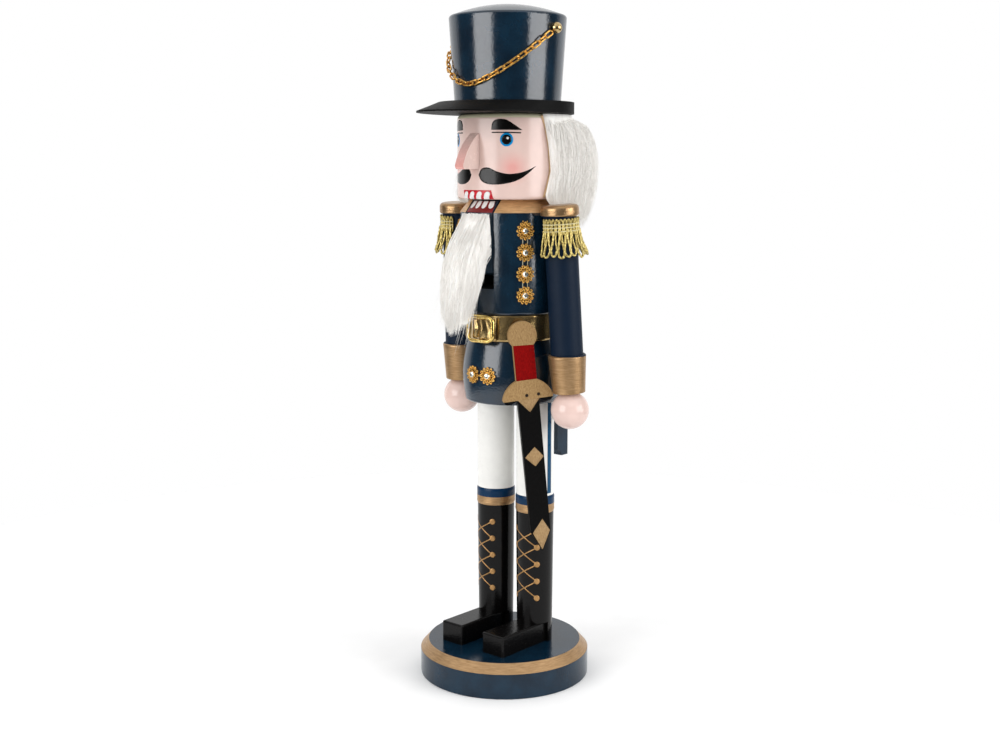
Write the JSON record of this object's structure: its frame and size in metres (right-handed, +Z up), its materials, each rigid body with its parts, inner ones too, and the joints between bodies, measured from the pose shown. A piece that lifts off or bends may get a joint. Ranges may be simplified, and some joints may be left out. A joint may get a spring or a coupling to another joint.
{
  "type": "nutcracker figure",
  "caption": "Standing wooden soldier nutcracker on a round stand, with a lever at its back that opens the lower jaw.",
  "frame": {"origin": "centre of the round stand's underside", "axes": "+Z up; the figure faces -Y; +X is the figure's own left"},
  "size_m": [0.0948, 0.0995, 0.35],
  "materials": {
    "navy_lacquer": "gloss",
    "boot_and_trouser_paint": "gloss",
    "black_paint": "satin",
    "flesh_paint": "gloss",
    "bare_wood": "matt",
    "gilt": "polished",
    "gold_foil_strip": "metallic",
    "crystal": "clear",
    "white_fur": "long pile",
    "bullion": "metallic thread",
    "sword_paint": "matt",
    "steel": "bright",
    "lever_paint": "matt"
  },
  "bodies": {
    "figure": {"base": "navy_lacquer", "torso": "navy_lacquer", "hat_crown": "navy_lacquer", "left_arm": "navy_lacquer", "right_arm": "navy_lacquer", "left_leg": "boot_and_trouser_paint", "right_leg": "boot_and_trouser_paint", "left_foot": "black_paint", "right_foot": "black_paint", "hat_brim": "black_paint", "head": "flesh_paint", "nose": "flesh_paint", "left_hand": "flesh_paint", "right_hand": "flesh_paint", "base_dowels": "bare_wood", "hip_dowels": "bare_wood", "neck_dowels": "bare_wood", "hat_dowel": "bare_wood", "arm_dowels": "bare_wood", "hand_dowels": "bare_wood", "pivot_pin": "steel", "sword_nails": "steel", "chain_studs": "gilt", "hat_chain": "gilt", "left_button_trim": "gilt", "right_button_trim": "gilt", "skirt_trim": "gilt", "left_button_stones": "crystal", "right_button_stones": "crystal", "skirt_stones": "crystal", "belt": "gold_foil_strip", "belt_buckle": "gold_foil_strip", "hair": "white_fur", "left_fringe": "bullion", "right_fringe": "bullion", "sword": "sword_paint"},
    "jaw": {"jaw_lever": "lever_paint", "beard": "white_fur"}
  },
  "joints": [
    {"name": "jaw_hinge", "type": "hinge", "parent": "figure", "child": "jaw", "pos_m": [0, 0.008, 0.2195], "axis": [1, 0, 0], "range_deg": [0, 15]}
  ]
}
